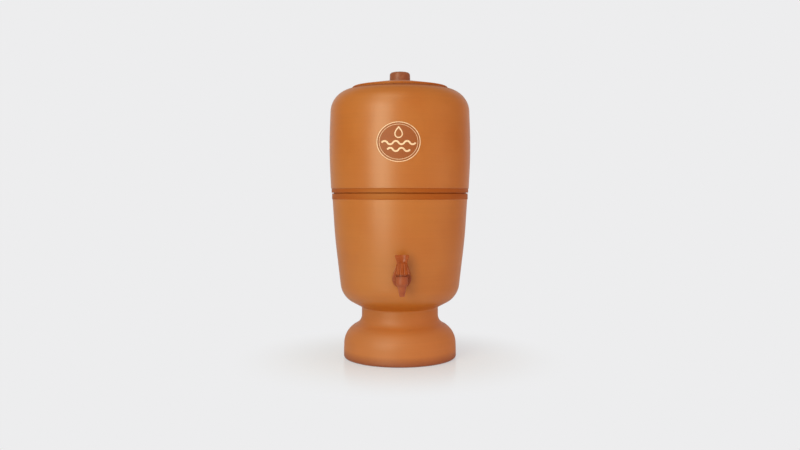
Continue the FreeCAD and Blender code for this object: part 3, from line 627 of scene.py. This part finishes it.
def openStrip(width):  # turns the filled outline of the active piece into a line of that width
    bpy.ops.object.mode_set(mode="EDIT")
    bpy.ops.mesh.select_all(action="SELECT")
    bpy.ops.mesh.inset(thickness=width)
    bpy.ops.mesh.delete(type="FACE")
    bpy.ops.object.mode_set(mode="OBJECT")


def joinPieces(pieces, name):
    bpy.ops.object.select_all(action="DESELECT")
    for piece in pieces:
        piece.select_set(True)
    bpy.context.view_layer.objects.active = pieces[0]
    bpy.ops.object.join()
    joined = bpy.context.object
    joined.name = name
    return joined


def pressOnWall(piece, lift, material):
    # turns the flat print to its bearing, lays it on the chamber's wall and gives the film its thickness
    bpy.ops.object.select_all(action="DESELECT")
    piece.select_set(True)
    bpy.context.view_layer.objects.active = piece
    piece.rotation_euler = (0, 0, medallion["turn"])
    bpy.ops.object.transform_apply()
    wrap = piece.modifiers.new("wall", "SHRINKWRAP")
    wrap.target = nodes["upper_chamber"]
    wrap.wrap_method = "PROJECT"
    wrap.use_project_y = True
    wrap.wrap_mode = "ABOVE_SURFACE"
    wrap.offset = lift
    bpy.ops.object.modifier_apply(modifier="wall")
    film = piece.modifiers.new("film", "SOLIDIFY")
    film.thickness = medallion["filmThickness"]
    film.offset = -1
    bpy.ops.object.modifier_apply(modifier="film")
    piece.data.materials.clear()
    piece.data.materials.append(material)
    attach(piece, "filter_chamber")


def ringUp(count, width):  # rings of faces inside the outline, so that the print can follow the wall
    bpy.ops.object.mode_set(mode="EDIT")
    bpy.ops.mesh.select_all(action="SELECT")
    for _ in range(count):
        bpy.ops.mesh.inset(thickness=width)
    bpy.ops.mesh.poke()
    bpy.ops.object.mode_set(mode="OBJECT")


ground = addOval(medallion["ovalSides"], medallion["halfWidth"], medallion["halfHeight"])
ground.name = "medallion_ground"
ringUp(medallion["groundRings"], medallion["groundRingWidth"])

outerFrame = addOval(medallion["ovalSides"], medallion["halfWidth"], medallion["halfHeight"])
openStrip(medallion["frameWidth"])
inset = medallion["frameWidth"] + medallion["innerFrameGap"]
innerFrame = addOval(medallion["ovalSides"], medallion["halfWidth"] - inset, medallion["halfHeight"] - inset)
openStrip(medallion["innerFrameWidth"])

dropRadius = medallion["dropRadius"]
drop = addOval(medallion["dropSides"], dropRadius, dropRadius, rise=medallion["dropCentre"])
bpy.ops.object.mode_set(mode="EDIT")
bpy.ops.mesh.select_all(action="DESELECT")
bpy.ops.object.mode_set(mode="OBJECT")
top = max(drop.data.vertices, key=lambda v: v.co.z)
top.select = True
bpy.ops.object.mode_set(mode="EDIT")
bpy.ops.transform.translate(  # the oval's top is drawn up to a tip
    value=(0, 0, medallion["dropRise"] - dropRadius),
    use_proportional_edit=True,
    proportional_edit_falloff="SHARP",
    proportional_size=dropRadius * medallion["dropReach"],
)
bpy.ops.mesh.select_all(action="SELECT")
bpy.ops.mesh.inset(thickness=0.0001)  # a start for the hollow, which is then scaled to size
bpy.ops.transform.resize(
    value=(medallion["dropHollow"], 1, medallion["dropHollow"]),
    center_override=(0, -medallion["standOff"], medallion["centreHeight"] + medallion["dropCentre"]),
)
bpy.ops.mesh.delete(type="FACE")
bpy.ops.object.mode_set(mode="OBJECT")

arcs = []
reach = medallion["waveRadius"] * math.sin(math.pi / 3)  # half the chord of a third of a ring
for rise, count in medallion["waveRows"]:
    for k in range(count):
        crest = 1 if k % 2 == 0 else -1
        across = (2 * k - count + 1) * reach
        sink = -crest * medallion["waveRadius"] * math.cos(math.pi / 3)
        outer = medallion["waveRadius"] + medallion["waveWidth"] / 2
        arc = addOval(medallion["waveSides"], outer, outer, across, rise + sink)
        openStrip(medallion["waveWidth"])
        bpy.ops.object.mode_set(mode="EDIT")
        centre = Vector((across, -medallion["standOff"], medallion["centreHeight"] + rise + sink))
        for side in (1, -1):  # two cuts through the ring's centre leave a third of it
            bpy.ops.mesh.select_all(action="SELECT")
            bpy.ops.mesh.bisect(
                plane_co=centre,
                plane_no=(side * math.cos(math.pi / 3), 0, -crest * math.sin(math.pi / 3)),
                clear_outer=True,
            )
        bpy.ops.object.mode_set(mode="OBJECT")
        arcs.append(arc)
lines = joinPieces([outerFrame, innerFrame, drop] + arcs, "medallion_lines")
bpy.ops.object.mode_set(mode="EDIT")
bpy.ops.mesh.select_all(action="SELECT")
bpy.ops.mesh.remove_doubles(threshold=0.00001)
bpy.ops.object.mode_set(mode="OBJECT")

groundInk = printedInk("printedSlipGround", medallion["ground"], medallion["groundFlow"])
lineInk = printedInk("printedSlipLines", medallion["ink"], medallion["inkThin"])
pressOnWall(ground, medallion["groundLift"], groundInk)
pressOnWall(lines, medallion["lineLift"], lineInk)
print("medallion printed")

# thread on the free end of the tap's shank

shankThread = {
    "axisHeight": 0.147,
    "radius": 0.00800,
    "depth": 0.00070,
    "pitch": 0.0020,
    "turns": 5,
    "stepsPerTurn": 48,
    "start": -0.0906,
}
bpy.ops.object.select_all(action="DESELECT")
bpy.ops.mesh.primitive_circle_add(  # the ridge's section, a square on its corner
    vertices=4, radius=shankThread["depth"], location=(shankThread["radius"], 0, 0)
)
thread = bpy.context.object
thread.name = "tap_shank_thread"
bpy.ops.object.transform_apply()
sweep = thread.modifiers.new("helix", "SCREW")
sweep.axis = "Y"
sweep.angle = 2 * math.pi * shankThread["turns"]
sweep.screw_offset = shankThread["pitch"] * shankThread["turns"]
sweep.steps = shankThread["stepsPerTurn"] * shankThread["turns"]
sweep.render_steps = sweep.steps
sweep.use_merge_vertices = True
bpy.ops.object.modifier_apply(modifier="helix")
bpy.ops.object.mode_set(mode="EDIT")
bpy.ops.mesh.select_all(action="SELECT")
bpy.ops.mesh.fill_holes(sides=4)
bpy.ops.mesh.normals_make_consistent(inside=False)
bpy.ops.transform.translate(value=(0, shankThread["start"], shankThread["axisHeight"]))
bpy.ops.object.mode_set(mode="OBJECT")
thread.data.materials.append(tapFinish)
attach(thread, "reservoir")
print("thread cut")

# studio: pale floor and backdrop, three soft boxes, camera level with the seam

studio = {
    "backdrop": "#ededee",
    "room": "#7a5f48",
    "light": 0.50,
    # A heading is the Y of a ray's direction, so 1 is straight back. Gloss meets the backdrop past the first
    # heading and the room before the second.
    "roomEdge": (0.95, 0.45),
    "floorColour": "#f5f3f2",
    "floorRough": 0.2,
    "floorGloss": 0.2,
    "floorSize": 8,
    "floorDrop": 0.0002,
    "nearFloor": 0.48,
    "fadeStart": 0.098,
    "fadeEnd": 0.30,
}
softBoxes = {  # only the key and the top box glint, so that one clear streak stands at the left
    "keySoftBox": {
        "bearing": math.radians(-30),
        "distance": 1.3,
        "height": 0.50,
        "aim": 0.50,
        "width": 0.62,
        "tall": 0.90,
        "power": 6.9,
        "tint": "#fcffe8",
        "glint": True,
    },
    "fillSoftBox": {
        "bearing": math.radians(66),
        "distance": 2.0,
        "height": 0.30,
        "aim": 0.30,
        "width": 1.2,
        "tall": 0.56,
        "power": 11.2,
        "tint": "#ffdcc6",
        "glint": False,
    },
    "topSoftBox": {
        "bearing": math.radians(-30),
        "distance": 1.3,
        "height": 1.7,
        "aim": 0.25,
        "width": 1.0,
        "tall": 1.0,
        "power": 6.6,
        "tint": "#fcffe8",
        "glint": True,
    },
}
cameraView = {
    "distance": 1.4,
    "bearing": math.radians(1.5),
    "height": 0.2845,
    "lens": 36.0,
    "sensor": 36.0,
    "shiftUp": -0.0395,
    "shiftSide": 0.0001,
}

# The camera and gloss see the backdrop's own colour, the light from all round has a strength of its own, and
# gloss that looks to the sides or back at the camera meets the room.
world = bpy.data.worlds.new("paleStudio")
bpy.context.scene.world = world
world.use_nodes = True
worldTree = world.node_tree
worldTree.nodes.clear()
ray = addNode(worldTree, "ShaderNodeLightPath")
seen = addNode(
    worldTree,
    "ShaderNodeMath",
    {"operation": "MAXIMUM"},
    {0: ray.outputs["Is Camera Ray"], 1: ray.outputs["Is Glossy Ray"]},
).outputs[0]
seen = addNode(
    worldTree, "ShaderNodeMath", {"operation": "MAXIMUM"}, {0: seen, 1: ray.outputs["Is Transmission Ray"]}
).outputs[0]
lit = addNode(
    worldTree, "ShaderNodeBackground", inputs={"Color": (1, 1, 1, 1), "Strength": studio["light"]}
).outputs[0]
shown = addNode(
    worldTree, "ShaderNodeBackground", inputs={"Color": linear(studio["backdrop"]), "Strength": 1}
).outputs[0]
sky = addNode(worldTree, "ShaderNodeMixShader", inputs={0: seen, 1: lit, 2: shown}).outputs[0]
heading = addNode(worldTree, "ShaderNodeTexCoord").outputs["Generated"]
heading = addNode(worldTree, "ShaderNodeSeparateXYZ", inputs={0: heading}).outputs["Y"]
backdropFrom, roomTo = studio["roomEdge"]
inFront = addNode(
    worldTree, "ShaderNodeMapRange", inputs={0: heading, 1: backdropFrom, 2: roomTo}
).outputs[0]
unlit = addNode(
    worldTree, "ShaderNodeMath", {"operation": "MULTIPLY"}, {0: inFront, 1: ray.outputs["Is Glossy Ray"]}
).outputs[0]
room = addNode(worldTree, "ShaderNodeBackground", inputs={"Color": linear(studio["room"])}).outputs[0]
sky = addNode(worldTree, "ShaderNodeMixShader", inputs={0: unlit, 1: sky, 2: room}).outputs[0]
addNode(worldTree, "ShaderNodeOutputWorld", inputs={"Surface": sky})

bpy.ops.mesh.primitive_plane_add(size=studio["floorSize"], location=(0, 0, -studio["floorDrop"]))
floor = bpy.context.object
floor.name = "studio_floor"
# Satin acrylic sheet: pale, with a soft short reflection, lost in the backdrop's colour away from the pot.
floorMaterial, tree, coords, surface = newFinish(
    "castAcrylicFloor",
    {
        "Base Color": linear(studio["floorColour"]),
        "Roughness": studio["floorRough"],
        "Specular IOR Level": studio["floorGloss"],
    },
)
distance = addNode(
    tree, "ShaderNodeVectorMath", {"operation": "LENGTH"}, {0: coords.outputs["Object"]}
).outputs["Value"]
far = addNode(
    tree,
    "ShaderNodeMapRange",
    {"interpolation_type": "SMOOTHSTEP"},
    {0: distance, 1: studio["fadeStart"], 2: studio["fadeEnd"], 3: studio["nearFloor"]},
).outputs[0]
ray = addNode(tree, "ShaderNodeLightPath")
fade = addNode(
    tree, "ShaderNodeMath", {"operation": "MULTIPLY"}, {0: far, 1: ray.outputs["Is Camera Ray"]}
).outputs[0]
glow = addNode(
    tree, "ShaderNodeEmission", inputs={"Color": linear(studio["backdrop"]), "Strength": 1}
).outputs[0]
mixed = addNode(
    tree, "ShaderNodeMixShader", inputs={0: fade, 1: surface.outputs["BSDF"], 2: glow}
).outputs[0]
tree.links.new(mixed, tree.nodes["Material Output"].inputs["Surface"])
floor.data.materials.append(floorMaterial)


def addSoftBox(name, box):
    # a soft box at that bearing from the camera's side, aimed at a height on the pot's axis
    side, front = math.sin(box["bearing"]), -math.cos(box["bearing"])
    place = Vector((box["distance"] * side, box["distance"] * front, box["height"]))
    bpy.ops.object.light_add(type="AREA", location=place)
    lamp = bpy.context.object
    lamp.name = name
    lamp.data.shape = "RECTANGLE"
    lamp.data.size = box["width"]
    lamp.data.size_y = box["tall"]
    lamp.data.energy = box["power"]
    lamp.data.color = linear(box["tint"])[:3]
    lamp.rotation_euler = (Vector((0, 0, box["aim"])) - place).to_track_quat("-Z", "Y").to_euler()
    lamp.visible_camera = False
    lamp.visible_glossy = box["glint"]


for name, box in softBoxes.items():
    addSoftBox(name, box)

bearing = cameraView["bearing"]
bpy.ops.object.camera_add(
    location=(
        -cameraView["distance"] * math.sin(bearing),
        -cameraView["distance"] * math.cos(bearing),
        cameraView["height"],
    ),
    rotation=(math.pi / 2, 0, -bearing),
)
camera = bpy.context.object
camera.data.lens = cameraView["lens"]
camera.data.sensor_width = cameraView["sensor"]
camera.data.shift_x = cameraView["shiftSide"]
camera.data.shift_y = cameraView["shiftUp"]
bpy.context.scene.camera = camera
bpy.context.scene.view_settings.view_transform = "Standard"
print("studio set")
